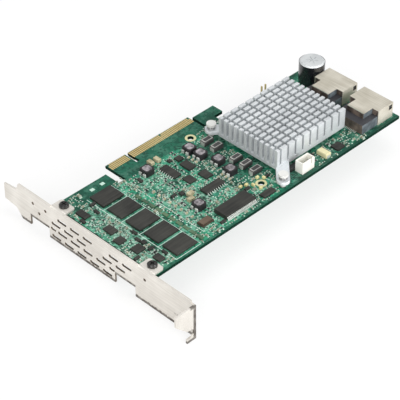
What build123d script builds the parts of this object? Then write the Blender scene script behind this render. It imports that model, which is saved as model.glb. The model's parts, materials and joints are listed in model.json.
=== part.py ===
"""RAID controller card: an expansion board with a pin-fin heatsink on a vented slot bracket.

Millimetres. While it is modelled, X runs along the card from the bracket's outer face, Y runs
from the board's free edge to its contact edge, and Z rises from the board's top face.
"""
import math
import os

from build123d import *

# Circuit board: outline from the free edge (Y = 0) to the contact edge
board_thickness = 1.57
board_setback = 1.9
shoulder_length = 30.6
shoulder_reach = 6.6
relief_drop = 1.8
left_relief = 4.1
right_relief = 1.4
hook_stem = 7.9
hook_arm = 13.3
hook_reach = 9.3
hook_arm_depth = 6.2

# Contact tongue: a key notch splits its rows of contacts
contact_pitch = 1.0
contact_width = 0.7
contact_length = 4.3
contact_thickness = 0.05
contacts_before_key = 11
contacts_after_key = 38
key_span = 3.0
key_width = 1.9
key_depth = 8.0
tongue_reach = 11.4
tongue_margin = 0.65
bevel_length = 0.5
bevel_depth = 0.3
short_contact_drop = 1.2
short_contacts = (0, 30, 48)

# Sides of the small drilled holes and of the pins and screws inside larger ones
small_hole_sides = 8
hidden_sides = 16

# Slot bracket: one folded sheet
sheet = 0.86
bracket_width = 18.42
bracket_height = 120.02
bracket_drop = 24.62
bend_radius = 0.5
flange_length = 11.43
flange_shoulder = 5.4
flange_prong = 5.0
screw_slot_width = 4.42
screw_slot_end = 1.0
screw_slot_floor = 2.2
bend_relief = 2.2
edge_notch_width = 12.5
edge_notch_depth = 5.0
edge_notch_starts = (11.2, 65.6)
tongue_length = 8.0
tongue_top = 3.9
tongue_width = 10.2
tongue_taper = 0.9
tongue_slope = 3.6
top_step = 1.8

# Vent slots: four staggered rows
vent_length = 5.8
vent_width = 1.5
vent_corner = 0.45
vent_pitch = 8.15
vent_start = 16.2
vent_rows = (5.4, 9.0, 12.3, 16.0)
vent_places = ((0, 1, 3, 4, 5), (0, 1, 3, 4, 5), (2, 3, 4, 5), (1, 2, 3, 4, 5))
short_vent_length = 3.4
short_vents = ((25.6, 12.3), (62.9, 12.3))
pilot_radius = 0.8
pilot_holes = ((5.4, 5.6), (67.7, 5.1), (72.0, 8.9), (76.0, 5.4))

# Ears that carry the board, with their screws and nuts
ear_width = 9.0
ear_length = 6.8
near_ear_inset = 5.0
far_ear_inset = 4.3
ear_corner = 1.2
screw_inset = 4.2
screw_radius = 1.25
screw_clearance = 0.1
screw_head_radius = 2.25
screw_head_height = 1.5
screw_head_bevel = 0.5
recess_width = 0.55
recess_span = 2.6
recess_depth = 0.8
nut_width = 5.0
nut_height = 2.0
screw_stickout = 0.6

# Controller package and thermal pad
controller_width = 27.0
controller_height = 1.1
die_width = 12.0
die_height = 0.5
pad_width = 23.0
pad_thickness = 0.4

# Heatsink: a base with two fixing lobes, fins cut across into pins
heatsink_gap = 2.6
heatsink_near = 10.6
heatsink_far_inset = 10.83
heatsink_base = 1.7
heatsink_height = 10.4
fin_count = 12
fin_thickness = 1.75
cross_cut_count = 9
cross_cut_pitch = 4.84
cross_cut_width = 1.1
first_column = 1.7
cross_cut_floor = 0.5
lobe_radius = 3.0
lobe_root = 10.2
near_lobe_offset = -3.8
near_lobe_inset = 3.4
far_lobe_offset = 0.3
far_lobe_inset = 6.0

# Push pins, held up by springs that press the heatsink down
push_pin_radius = 1.25
push_pin_clearance = 0.2
push_pin_head_radius = 2.3
push_pin_head_height = 1.1
push_pin_barb_radius = 1.7
push_pin_barb_drop = 3.0
push_pin_split = 0.5
spring_radius = 1.7
spring_wire = 0.32
spring_clearance = 0.04
spring_turns = 3
spring_steps = 8
spring_height = 1.8

# Memory chips in one column beside the bracket
memory_count = 5
memory_inset = 14.1
memory_start = 6.9
memory_pitch = 11.26
memory_length = 12.07
memory_width = 8.88
memory_height = 1.1
chip_bevel = 0.12

# Resistor arrays in a column beside the memory
array_gap = 2.7
array_length = 3.2
array_width = 1.6
array_start = 4.4
array_pitch = 4.2
array_count = 10

# Middle of the card: places there count from the middle's left side
middle_gap = 4.6
middle_length = 40.2

# Flash chip and the other leaded chips: x, y, length, width, turn
lead_width = 0.28
lead_thickness = 0.16
lead_reach = 1.3
lead_foot = 0.6
lead_standoff = 0.1
flash_place = (19.6, 8.0)
flash_length = 18.4
flash_width = 7.5
flash_height = 2.2
flash_pitch = 0.635
flash_lead_count = 28
small_outline_height = 1.2
small_outline_pitch = 1.27
small_outline_chips = (
    (22.3, 24.2, 11.6, 4.2, 0),
    (16.4, 44.6, 9.6, 4.2, 90),
)

# Leadless chips in the middle: x, y, length, width
regulator_height = 0.9
regulator_chips = (
    (18.7, 34.9, 4.2, 4.8),
    (26.2, 32.6, 4.4, 5.4),
    (36.2, 4.2, 7.4, 3.4),
)
logic_height = 1.0
logic_chips = ((25.2, 42.6, 4.4, 6.2),)

# Leadless chips beside the bracket, counted from the board's left end
bracket_side_chips = (
    (5.9, 34.4, 4.0, 5.5),
    (4.0, 26.5, 4.5, 4.0),
    (5.7, 17.3, 5.0, 4.5),
    (8.0, 7.0, 3.5, 4.5),
)
shoulder_chip = (4.6, 9.6, 3.5, 6.0)

# Shielded inductors in the middle: ferrite block with a pale core on top
inductor_width = 5.2
inductor_height = 2.8
inductor_corner = 0.6
core_width = 3.8
core_corner = 0.8
core_rise = 0.2
inductor_places = (
    (8.9, 51.7),
    (8.3, 18.8),
    (33.3, 49.7),
    (34.0, 43.4),
    (36.6, 34.8),
    (35.2, 26.0),
)

# Moulded capacitors: body, top bevel and folded terminals
moulded_length = 6.0
moulded_width = 3.2
moulded_height = 2.5
moulded_bevel = 0.3
terminal_width = 2.2
terminal_thickness = 0.15
terminal_rise = 1.5
terminal_foot = 1.2
polymer_near_inset = 18.4
polymer_far_inset = 9.1
polymer_rows = (0, 1, 2, 4, 5)
polymer_row_count = 6

# Ceramic parts in the middle: x, y, length, width
ceramic_height = 1.5
ceramic_places = (
    (14.7, 55.4, 2.0, 3.2),
    (18.3, 55.0, 2.0, 3.2),
    (9.2, 24.6, 3.2, 2.0),
    (11.7, 27.4, 3.2, 2.0),
)
oscillator_place = (3.1, 9.7)
oscillator_length = 6.5
oscillator_width = 4.0
oscillator_base = 0.8
oscillator_lid = 0.5
lid_margin = 0.35

# Small chip parts in rows in the middle: first x, first y, step x, step y, count
cap_length = 1.6
cap_width = 0.8
cap_height = 0.8
end_cap = 0.3
cap_rows = (
    (1.4, 16.0, 0.0, 3.4, 8),
    (29.5, 41.6, 0.0, 2.4, 3),
    (31.2, 22.6, 0.0, 2.4, 3),
)
resistor_height = 0.45
resistor_rows = (
    (4.6, 17.0, 0.0, 3.4, 3),
    (10.6, 34.0, 0.0, 2.6, 4),
    (26.6, 52.4, 0.0, 1.9, 2),
)

# Bulk capacitor at the rear corner
bulk_radius = 6.25
bulk_height = 11.6
bulk_rear_inset = 7.3
bulk_port_gap = 0.45
bulk_margin = 3.25
sleeve_wall = 0.15
sleeve_gap = 0.05
bulk_edge = 0.7
score_width = 0.3
score_count = 3
bulk_lead_spacing = 5.0
bulk_lead = 0.6

# Drive ports: shell, housing and tails, open to the rear
port_gap = 3.0
port_setback = 2.3
port_count = 2
port_near_inset = 2.3
port_spacing = 4.2
port_width = 17.4
port_height = 8.0
port_sheet = 0.35
port_depth = 10.4
port_tab_length = 6.2
port_tab_width = 10.0
port_window_length = 2.2
port_window_height = 2.6
port_window_drop = 0.8
port_window_inset = 0.7
housing_fit = 0.1
housing_rear = 10.6
housing_width = 16.4
housing_low = 5.0
housing_nose = 4.6
slot_width = 13.0
slot_height = 2.2
slot_depth = 3.6
tail_count = 13
tail_pitch = 0.8
tail_width = 0.3
tail_length = 1.2
tail_thickness = 0.2
shell_leg_width = 1.0
shell_leg_inset = 3.4

# Cable header with one row of pins, open at the top
header_pitch = 2.0
header_pin_count = 3
header_margin = 1.95
header_width = 4.5
header_height = 6.0
header_wall = 0.6
header_floor = 1.2
header_offset = 11.4
header_inset = 4.4
header_slit = 0.6
header_slit_depth = 3.0
header_pin = 0.5
header_pin_top = 4.8

# Other parts along the free edge, counted from the heatsink's left side
tantalum_offset = 24.9
tantalum_inset = 5.1
edge_chip_offset = 33.9
edge_chip_inset = 4.6
edge_chip_length = 5.0
edge_chip_width = 4.5

# Jumper with two pins near the far edge
jumper_pitch = 2.54
jumper_offset = 36.9
jumper_far_inset = 4.0
jumper_base = 2.5
jumper_pin = 0.64
jumper_top = 8.0

# Open board holes left of the heatsink, near the free edge and at the far edge, and solder
ring_hole_radius = 1.4
near_ring_offset = -9.5
near_ring_inset = 11.1
far_ring_offset = -8.2
far_ring_inset = 1.2
ring_radius = 2.65
ring_clearance = 0.1
ring_sides = 16
plating = 0.05
lead_clearance = 0.1
solder_foot = 0.6
solder_rise = 0.9

# Derived places along the card, column by column
memory_left = board_setback + memory_inset
array_left = memory_left + memory_length + array_gap
middle_left = array_left + array_width + middle_gap
polymer_left = middle_left + middle_length
heatsink_left = polymer_left + moulded_length + heatsink_gap
heatsink_length = first_column + cross_cut_count * cross_cut_pitch
heatsink_right = heatsink_left + heatsink_length
port_back = heatsink_right + port_gap + housing_rear
port_front = port_back + port_depth
board_rear = port_front + port_setback

# Derived places across the card
port_centres = [port_near_inset + port_width / 2 + i * (port_width + port_spacing) for i in range(port_count)]
bulk_x = board_rear - bulk_rear_inset
bulk_y = port_centres[-1] + port_width / 2 + bulk_port_gap + bulk_radius
board_depth = bulk_y + bulk_radius + bulk_margin
shoulder_top = board_depth + shoulder_reach
ear_centres = (near_ear_inset, shoulder_top - far_ear_inset)
relief_floor = board_depth - relief_drop
heatsink_far = board_depth - heatsink_far_inset
heatsink_width = heatsink_far - heatsink_near
fin_pitch = (heatsink_width - fin_thickness) / (fin_count - 1)

# Derived places of the tongue, the bracket and what lies under the heatsink
shoulder_right = board_setback + shoulder_length
tongue_left = shoulder_right + left_relief
key_place = tongue_left + tongue_margin + (contacts_before_key - 0.5) * contact_pitch + key_span / 2
contact_span = (contacts_before_key + contacts_after_key - 2) * contact_pitch + key_span
tongue_right = tongue_left + 2 * tongue_margin + contact_span
tongue_tip = board_depth + tongue_reach
hook_left = tongue_right + right_relief
bracket_top = sheet
bracket_bottom = sheet - bracket_width
controller_x = heatsink_left + heatsink_length / 2
controller_y = heatsink_near + heatsink_width / 2
heatsink_bottom = controller_height + die_height + pad_thickness
lobe_pins = (
    (heatsink_left + near_lobe_offset, near_lobe_inset),
    (heatsink_left + far_lobe_offset, board_depth - far_lobe_inset),
)
header_x = heatsink_left + header_offset
header_length = (header_pin_count - 1) * header_pitch + 2 * header_margin
jumper_x = heatsink_left + jumper_offset
jumper_y = board_depth - jumper_far_inset


def block(length, width, height, x, y, z=0.0):
    """A box centred on (x, y) that stands on the height z."""
    return Pos(x, y, z) * Box(length, width, height, align=(Align.CENTER, Align.CENTER, Align.MIN))


def span(x_range, y_range, z_range):
    """A box between two corners, given as a range along each axis."""
    low, high = zip(x_range, y_range, z_range)
    size = [b - a for a, b in zip(low, high)]
    return Pos(*low) * Box(*size, align=(Align.MIN, Align.MIN, Align.MIN))


def disc(radius, height, x, y, z=0.0):
    """An upright cylinder that stands on the height z."""
    return Pos(x, y, z) * Cylinder(radius, height, align=(Align.CENTER, Align.CENTER, Align.MIN))


def area(x_range, y_range):
    """A flat rectangle between two corners."""
    size = (x_range[1] - x_range[0], y_range[1] - y_range[0])
    return Pos(x_range[0], y_range[0]) * Rectangle(*size, align=(Align.MIN, Align.MIN))


def group(solids):
    """Separate solids that share one node."""
    return Compound(children=[solid for shape in solids for solid in shape.solids()])


def row_places(rows):
    """Every place of the middle's parts laid out in rows."""
    places = []
    for x, y, dx, dy, count in rows:
        places += [(middle_left + x + i * dx, y + i * dy) for i in range(count)]
    return places


def small_hole(radius, x, y):
    """A small drilled hole through the board, cut with few sides."""
    outline = Pos(x, y) * RegularPolygon(radius, small_hole_sides, major_radius=False)
    return extrude(outline, amount=-board_thickness)


def bore(radius, height, x, y, z):
    """A many-sided hole for a screw or a pin, nowhere narrower than the radius."""
    return Pos(x, y, z) * extrude(RegularPolygon(radius, hidden_sides, major_radius=False), height)


def shaft(radius, height, x, y, z):
    """A many-sided shaft, nowhere wider than the radius."""
    return Pos(x, y, z) * extrude(RegularPolygon(radius, hidden_sides), height)


def flat_cone(low_radius, high_radius, rise, sides):
    """A flat-sided cone from the origin up or down to the rise, with its sharp end cut off."""
    angles = [2 * math.pi * i / sides for i in range(sides)]
    low = [(low_radius * math.cos(a), low_radius * math.sin(a), 0) for a in angles]
    high = [(high_radius * math.cos(a), high_radius * math.sin(a), rise) for a in angles]
    outlines = [low, high]
    for i in range(sides):
        j = (i + 1) % sides
        outlines.append([low[i], low[j], high[j], high[i]])
    return Solid(Shell([Face(Wire.make_polygon(outline)) for outline in outlines]))


def ear_screw_places():
    """The screws through the bracket's ears."""
    return [(screw_inset, y) for y in ear_centres]


def ring_hole_places():
    """The two open holes of the board."""
    near = (heatsink_left + near_ring_offset, near_ring_inset)
    return [near, (heatsink_left + far_ring_offset, board_depth - far_ring_inset)]


def header_pin_places():
    """The pins of the cable header, in line along the card."""
    first = header_x - (header_pin_count - 1) * header_pitch / 2
    return [(first + i * header_pitch, header_inset) for i in range(header_pin_count)]


def jumper_pin_places():
    """The two pins of the jumper."""
    return [(jumper_x + side * jumper_pitch / 2, jumper_y) for side in (-1, 1)]


def bulk_lead_places():
    """The two leads of the bulk capacitor."""
    return [(bulk_x, bulk_y + side * bulk_lead_spacing / 2) for side in (-1, 1)]


def shell_leg_places(centres):
    """The legs that hold the port shells in the board."""
    across = (port_width - port_sheet) / 2
    return [(port_back + shell_leg_inset, y + side * across) for y in centres for side in (-1, 1)]


def lead_places():
    """Every soldered lead through the board: x, y and the radius that it needs."""
    sets = (
        (header_pin_places(), header_pin / math.sqrt(2)),
        (jumper_pin_places(), jumper_pin / math.sqrt(2)),
        (bulk_lead_places(), bulk_lead / math.sqrt(2)),
        (shell_leg_places(port_centres), math.hypot(shell_leg_width, port_sheet) / 2),
    )
    return [(x, y, radius) for places, radius in sets for x, y in places]


def contact_places():
    """The X of each contact, on both sides of the key."""
    first = tongue_left + tongue_margin
    places = []
    for i in range(contacts_before_key + contacts_after_key):
        step = i * contact_pitch if i < contacts_before_key else (i - 1) * contact_pitch + key_span
        places.append(first + step)
    return places


def circuit_board():
    """The board with its contact tongue, key, reliefs, hook and every drilled hole."""
    outline = area((board_setback, board_rear), (0, board_depth))
    outline += area((board_setback, shoulder_right), (0, shoulder_top))
    outline += area((tongue_left, tongue_right), (0, tongue_tip))
    outline += area((hook_left, hook_left + hook_stem), (0, board_depth + hook_reach))
    arm_low = board_depth + hook_reach - hook_arm_depth
    outline += area((hook_left, hook_left + hook_arm), (arm_low, board_depth + hook_reach))
    outline -= area((shoulder_right, tongue_left), (relief_floor, tongue_tip))
    outline -= area((tongue_right, hook_left), (relief_floor, tongue_tip))
    key_left = key_place - key_width / 2
    outline -= area((key_left, key_left + key_width), (tongue_tip - key_depth, tongue_tip))
    board = extrude(outline, amount=-board_thickness)
    for side in (1, -1):
        face = 0 if side > 0 else -board_thickness
        bevel = Polyline(
            (tongue_tip - bevel_length, face),
            (tongue_tip, face - side * bevel_depth),
            (tongue_tip, face),
            close=True,
        )
        board -= Pos(tongue_left, 0, 0) * extrude(Plane.YZ * make_face(bevel), tongue_right - tongue_left)
    holes = [(screw_radius + screw_clearance, place) for place in ear_screw_places()]
    holes += [(push_pin_radius + push_pin_clearance, place) for place in lobe_pins]
    board -= [bore(radius, board_thickness, *place, -board_thickness) for radius, place in holes]
    board -= [disc(ring_hole_radius, board_thickness, x, y, -board_thickness) for x, y in ring_hole_places()]
    return board - [small_hole(r + lead_clearance, x, y) for x, y, r in lead_places()]


def edge_contacts():
    """Flat contacts on both faces of the tongue, a few of them shorter at the tip."""
    outer = tongue_tip - bevel_length
    plates = []
    for i, x in enumerate(contact_places()):
        tip = outer - (short_contact_drop if i in short_contacts else 0)
        for floor in (0, -board_thickness - contact_thickness):
            across = (x - contact_width / 2, x + contact_width / 2)
            plates.append(span(across, (outer - contact_length, tip), (floor, floor + contact_thickness)))
    return group(plates)


def folded_sheet():
    """The bracket's face and its flange before anything is cut, folded at the near end."""
    end = bracket_height - bracket_drop
    profile = area((0, sheet), (-bracket_drop, end))
    profile += area((-flange_length, sheet), (-bracket_drop, sheet - bracket_drop))
    corners = profile.vertices()
    outer = corners.sort_by_distance((sheet, -bracket_drop, 0))[0]
    profile = fillet(outer, bend_radius + sheet)
    inner = profile.vertices().sort_by_distance((0, sheet - bracket_drop, 0))[0]
    profile = fillet(inner, bend_radius)
    return Pos(0, 0, bracket_bottom) * extrude(profile, bracket_width)


def flange_cuts():
    """The flange's slanted corner and the slot for the chassis screw."""
    shoulder = bracket_top - flange_shoulder
    slant = flange_length - flange_prong
    corner = Polyline(
        (-flange_length - 1, shoulder),
        (-flange_length, shoulder),
        (-flange_prong, shoulder - slant),
        (-flange_prong, bracket_bottom - 1),
        (-flange_length - 1, bracket_bottom - 1),
        close=True,
    )
    slot_low = bracket_bottom + screw_slot_floor
    slot_end = -screw_slot_end - screw_slot_width / 2
    slot = area((-flange_length, slot_end), (slot_low, slot_low + screw_slot_width))
    slot += Pos(slot_end, slot_low + screw_slot_width / 2) * Circle(screw_slot_width / 2)
    through = 2 * sheet
    cuts = [extrude(Plane.XZ * shape, through) for shape in (make_face(corner), slot)]
    return [Pos(0, 1.5 * sheet - bracket_drop, 0) * cut for cut in cuts]


def vent(y, depth, length):
    """One vent slot with cut corners, at a depth below the bracket's top edge."""
    slot = Rectangle(length, vent_width)
    return Pos(y, bracket_top - depth) * chamfer(slot.vertices(), vent_corner)


def face_cuts():
    """Vents, holes, edge notches and the narrow tongue that goes into the chassis."""
    tongue_start = bracket_height - bracket_drop - tongue_length
    end = bracket_height - bracket_drop
    tongue_high = bracket_top - tongue_top
    tongue_low = tongue_high - tongue_width
    above = Polyline(
        (tongue_start - top_step, bracket_top + 1),
        (tongue_start - top_step, bracket_top),
        (tongue_start, tongue_high),
        (end, tongue_high - tongue_taper),
        (end + 1, tongue_high - tongue_taper),
        (end + 1, bracket_top + 1),
        close=True,
    )
    below = Polyline(
        (tongue_start - tongue_slope, bracket_bottom - 1),
        (tongue_start - tongue_slope, bracket_bottom),
        (tongue_start, tongue_low),
        (end, tongue_low + tongue_taper),
        (end + 1, tongue_low + tongue_taper),
        (end + 1, bracket_bottom - 1),
        close=True,
    )
    shapes = [make_face(above), make_face(below)]
    notch_top = bracket_bottom + edge_notch_depth
    for start in edge_notch_starts:
        shapes.append(area((start, start + edge_notch_width), (bracket_bottom - 1, notch_top)))
    relief_end = sheet + bend_relief - bracket_drop
    shapes.append(area((-bracket_drop - 1, relief_end), (bracket_top - bend_relief / 2, bracket_top + 1)))
    for row, (depth, places) in enumerate(zip(vent_rows, vent_places)):
        stagger = vent_pitch / 2 if row % 2 else 0
        for place in places:
            y = vent_start + stagger + place * vent_pitch
            shapes.append(vent(y, depth, vent_length))
    shapes += [vent(y, depth, short_vent_length) for y, depth in short_vents]
    for y, depth in pilot_holes:
        shapes.append(Pos(y, bracket_top - depth) * RegularPolygon(pilot_radius, small_hole_sides))
    return [Pos(-sheet, 0, 0) * extrude(Plane.YZ * shape, 3 * sheet) for shape in shapes]


def ear(centre):
    """One ear folded from the bracket's top edge over the board, with its screw hole."""
    root = -2 * sheet
    profile = area((0, sheet), (root, bracket_top)) + area((0, ear_length), (0, bracket_top))
    outer = profile.vertices().sort_by_distance((0, bracket_top, 0))[0]
    profile = fillet(outer, bend_radius + sheet)
    inner = profile.vertices().sort_by_distance((sheet, 0, 0))[0]
    profile = fillet(inner, bend_radius)
    strip = Pos(0, centre + ear_width / 2, 0) * extrude(Plane.XZ * profile, ear_width)
    tips = strip.edges().filter_by(Axis.Z).group_by(Axis.X)[-1]
    strip = fillet(tips, ear_corner)
    return strip - bore(screw_radius + screw_clearance, 3 * sheet, screw_inset, centre, -sheet)


def io_bracket():
    """The whole bracket, cut and folded from one sheet."""
    bracket = folded_sheet() - flange_cuts() - face_cuts()
    for centre in ear_centres:
        across = (centre - ear_width / 2, centre + ear_width / 2)
        bracket -= span((0, sheet), across, (-2 * sheet, bracket_top))
        bracket += ear(centre)
    return bracket


def bracket_screws():
    """Pan-head screws with a cross recess, through the ears and the board."""
    screws = []
    reach = board_thickness + nut_height + screw_stickout
    for x, y in ear_screw_places():
        head = disc(screw_head_radius, screw_head_height, x, y, bracket_top)
        head = chamfer(head.edges().sort_by(Axis.Z)[-1], screw_head_bevel)
        recess_floor = bracket_top + screw_head_height - recess_depth
        head -= block(recess_span, recess_width, recess_depth, x, y, recess_floor)
        head -= block(recess_width, recess_span, recess_depth, x, y, recess_floor)
        screws.append(head + shaft(screw_radius, reach + bracket_top, x, y, -reach))
    return group(screws)


def bracket_nuts():
    """Hexagon nuts under the board."""
    nuts = []
    for x, y in ear_screw_places():
        outline = RegularPolygon(nut_width / 2, 6, major_radius=False)
        nut = Pos(x, y, -board_thickness - nut_height) * extrude(outline, nut_height)
        clear = screw_radius + screw_clearance / 2
        nuts.append(nut - bore(clear, nut_height, x, y, -board_thickness - nut_height))
    return group(nuts)


def board_hole_rings():
    """Bare plated rings round the two open holes, on both faces of the board."""
    rings = []
    for x, y in ring_hole_places():
        ring = RegularPolygon(ring_radius, ring_sides)
        ring -= RegularPolygon(ring_hole_radius + ring_clearance, ring_sides, major_radius=False)
        for floor in (0, -board_thickness - plating):
            rings.append(Pos(x, y, floor) * extrude(ring, plating))
    return group(rings)


def controller_chip():
    """The controller's package with its bare die in the middle."""
    package = block(controller_width, controller_width, controller_height, controller_x, controller_y)
    return package + block(die_width, die_width, die_height, controller_x, controller_y, controller_height)


def thermal_pad():
    """The soft pad between the die and the heatsink."""
    floor = controller_height + die_height
    return block(pad_width, pad_width, pad_thickness, controller_x, controller_y, floor)


def heatsink():
    """A pin-fin heatsink: channels along the card, cross cuts, and a lobe at each left corner."""
    along = (heatsink_left, heatsink_right)
    across = (heatsink_near, heatsink_far)
    base_top = heatsink_bottom + heatsink_base
    top = heatsink_bottom + heatsink_height
    body = span(along, across, (heatsink_bottom, top))
    channel = fin_pitch - fin_thickness
    cuts = []
    for i in range(fin_count - 1):
        low = heatsink_near + fin_thickness + i * fin_pitch
        cuts.append(span(along, (low, low + channel), (base_top, top)))
    for i in range(cross_cut_count):
        left = heatsink_left + first_column + i * cross_cut_pitch
        cuts.append(span((left, left + cross_cut_width), across, (base_top + cross_cut_floor, top)))
    body -= cuts
    middle = (heatsink_near + heatsink_far) / 2
    for x, y in lobe_pins:
        inwards = lobe_root if y < middle else -lobe_root
        root = Pos(x + lobe_root, y + inwards) * Circle(lobe_radius)
        lobe = make_hull((root + Pos(x, y) * Circle(lobe_radius)).edges())
        body += Pos(0, 0, heatsink_bottom) * extrude(lobe, heatsink_base)
    clear = push_pin_radius + push_pin_clearance
    return body - [bore(clear, heatsink_base, x, y, heatsink_bottom) for x, y in lobe_pins]


def heatsink_push_pins():
    """Moulded pins that clip through the lobes and the board, split at the tip."""
    head_floor = heatsink_bottom + heatsink_base + spring_height
    low = -board_thickness - push_pin_clearance
    pin = shaft(push_pin_head_radius, push_pin_head_height, 0, 0, head_floor)
    pin += shaft(push_pin_radius, head_floor - low, 0, 0, low)
    pin += Pos(0, 0, low) * flat_cone(push_pin_barb_radius, push_pin_radius / 2, -push_pin_barb_drop, hidden_sides)
    split = push_pin_barb_drop + board_thickness
    pin -= block(push_pin_split, 3 * push_pin_barb_radius, split, 0, 0, low - push_pin_barb_drop)
    return group([Pos(x, y, 0) * pin for x, y in lobe_pins])


def push_pin_springs():
    """Coil springs between the lobes and the heads of the push pins, bent in short steps."""
    inset = spring_wire / 2 + spring_clearance
    rise = spring_height - 2 * inset
    steps = spring_turns * spring_steps
    points = []
    for i in range(steps + 1):
        angle = 2 * math.pi * i / spring_steps
        points.append((spring_radius * math.cos(angle), spring_radius * math.sin(angle), rise * i / steps))
    path = Polyline(*points)
    wire = Plane(origin=path @ 0, z_dir=path % 0) * Rectangle(spring_wire, spring_wire)
    spring = sweep(wire, path=path, transition=Transition.RIGHT)
    floor = heatsink_bottom + heatsink_base + inset
    return group([Pos(x, y, floor) * spring for x, y in lobe_pins])


def chip_body(length, width, height, x, y, floor=0.0):
    """A moulded chip with bevelled top edges."""
    chip = block(length, width, height, x, y, floor)
    return chamfer(chip.faces().sort_by(Axis.Z)[-1].edges(), chip_bevel)


def memory_chip(i):
    """One memory chip of the column."""
    x = memory_left + memory_length / 2
    y = memory_start + i * memory_pitch
    return chip_body(memory_length, memory_width, memory_height, x, y)


def gull_leads(width, height, pitch, count):
    """Bent leads on both long sides of a chip at the origin: sloping leg and foot."""
    level = lead_standoff + (height - lead_standoff) / 2
    edge = width / 2
    knee = edge + lead_reach - lead_foot
    outline = Polyline(
        (edge, level),
        (edge, level + lead_thickness),
        (knee + lead_thickness, lead_thickness),
        (edge + lead_reach, lead_thickness),
        (edge + lead_reach, 0),
        (knee, 0),
        close=True,
    )
    leads = []
    for side in (0, 180):
        for i in range(count):
            along = (i - (count - 1) / 2) * pitch
            lead = Pos(along - lead_width / 2, 0, 0) * extrude(Plane.YZ * make_face(outline), lead_width)
            leads.append(Rot(0, 0, side) * lead)
    return leads


def flash_chip():
    """The long flash chip near the free edge."""
    height = flash_height - lead_standoff
    x, y = flash_place
    return chip_body(flash_length, flash_width, height, middle_left + x, y, lead_standoff)


def flash_chip_leads():
    """The flash chip's two rows of leads."""
    place = Pos(middle_left + flash_place[0], flash_place[1], 0)
    leads = gull_leads(flash_width, flash_height, flash_pitch, flash_lead_count)
    return group([place * lead for lead in leads])


def small_outline_bodies():
    """Bodies of the smaller leaded chips."""
    height = small_outline_height - lead_standoff
    bodies = []
    for x, y, length, width, turn in small_outline_chips:
        body = chip_body(length, width, height, 0, 0, lead_standoff)
        bodies.append(Pos(middle_left + x, y, 0) * Rot(0, 0, turn) * body)
    return group(bodies)


def small_outline_leads():
    """Leads of the smaller leaded chips."""
    leads = []
    for x, y, length, width, turn in small_outline_chips:
        count = int(length / small_outline_pitch)
        place = Pos(middle_left + x, y, 0) * Rot(0, 0, turn)
        leads += [place * lead for lead in gull_leads(width, small_outline_height, small_outline_pitch, count)]
    return group(leads)


def leadless(chips, left, height):
    """Leadless chips that sit on the board, counted from the given left side."""
    return [chip_body(length, width, height, left + x, y) for x, y, length, width in chips]


def regulator_parts():
    """Regulator chips in the middle, on the shoulder and along the free edge."""
    chips = leadless(regulator_chips, middle_left, regulator_height)
    x, drop, length, width = shoulder_chip
    chips.append(chip_body(length, width, regulator_height, board_setback + x, ear_centres[-1] - drop))
    edge = (edge_chip_length, edge_chip_width, regulator_height)
    chips.append(chip_body(*edge, heatsink_left + edge_chip_offset, edge_chip_inset))
    return group(chips)


def logic_parts():
    """Logic chips in the middle and beside the bracket."""
    chips = leadless(logic_chips, middle_left, logic_height)
    return group(chips + leadless(bracket_side_chips, board_setback, regulator_height))


def cut_squares(width, height, corner, floor=0.0):
    """Square blocks with cut corners, one at each inductor's place."""
    body = block(width, width, height, 0, 0, floor)
    body = chamfer(body.edges().filter_by(Axis.Z), corner)
    return group([Pos(middle_left + x, y, 0) * body for x, y in inductor_places])


def power_inductors():
    """The inductors' ferrite blocks."""
    return cut_squares(inductor_width, inductor_height, inductor_corner)


def inductor_cores():
    """The pale cores that stand a little above the blocks."""
    return cut_squares(core_width, core_rise, core_corner, inductor_height)


def moulded_body():
    """A moulded capacitor along X, bevelled on its marked end and on its top edges."""
    length = moulded_length - 2 * terminal_thickness
    body = block(length, moulded_width, moulded_height - terminal_thickness, 0, 0, terminal_thickness)
    top = body.faces().sort_by(Axis.Z)[-1].edges()
    return chamfer(top, moulded_bevel)


def moulded_terminals():
    """The two folded terminals of a moulded capacitor: end plate and foot."""
    plates = []
    for side in (-1, 1):
        end = side * (moulded_length / 2 - terminal_thickness / 2)
        foot = side * (moulded_length / 2 - terminal_foot / 2)
        plate = block(terminal_thickness, terminal_width, terminal_rise, end, 0)
        plates.append(plate + block(terminal_foot, terminal_width, terminal_thickness, foot, 0))
    return plates


def moulded_places():
    """Placements of the polymer capacitors."""
    x = polymer_left + moulded_length / 2
    pitch = (board_depth - polymer_far_inset - polymer_near_inset) / (polymer_row_count - 1)
    return [Pos(x, polymer_near_inset + row * pitch, 0) for row in polymer_rows]


def polymer_capacitors():
    """Bodies of the polymer capacitors beside the heatsink."""
    return group([place * moulded_body() for place in moulded_places()])


def polymer_terminals():
    """Terminals of the polymer capacitors."""
    return group([place * plate for place in moulded_places() for plate in moulded_terminals()])


def tantalum_place():
    """Placement of the tantalum capacitor, turned across the card."""
    return Pos(heatsink_left + tantalum_offset, tantalum_inset, 0) * Rot(0, 0, 90)


def tantalum_capacitor():
    """The pale tantalum capacitor."""
    return tantalum_place() * moulded_body()


def tantalum_terminals():
    """Terminals of the tantalum capacitor."""
    return group([tantalum_place() * plate for plate in moulded_terminals()])


def ceramic_capacitors():
    """Larger ceramic capacitors."""
    return group([block(*size, ceramic_height, middle_left + x, y) for x, y, *size in ceramic_places])


def oscillator_base_part():
    """The ceramic base of the clock oscillator."""
    x, y = oscillator_place
    return block(oscillator_length, oscillator_width, oscillator_base, middle_left + x, y)


def oscillator_lid_part():
    """The metal lid of the clock oscillator."""
    x, y = oscillator_place
    size = (oscillator_length - 2 * lid_margin, oscillator_width - 2 * lid_margin)
    return block(*size, oscillator_lid, middle_left + x, y, oscillator_base)


def chip_capacitors():
    """Small chip capacitors between their end caps."""
    length = cap_length - 2 * end_cap
    return group([block(length, cap_width, cap_height, x, y) for x, y in row_places(cap_rows)])


def chip_resistors():
    """Small chip resistors between their end caps."""
    length = cap_length - 2 * end_cap
    return group([block(length, cap_width, resistor_height, x, y) for x, y in row_places(resistor_rows)])


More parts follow.
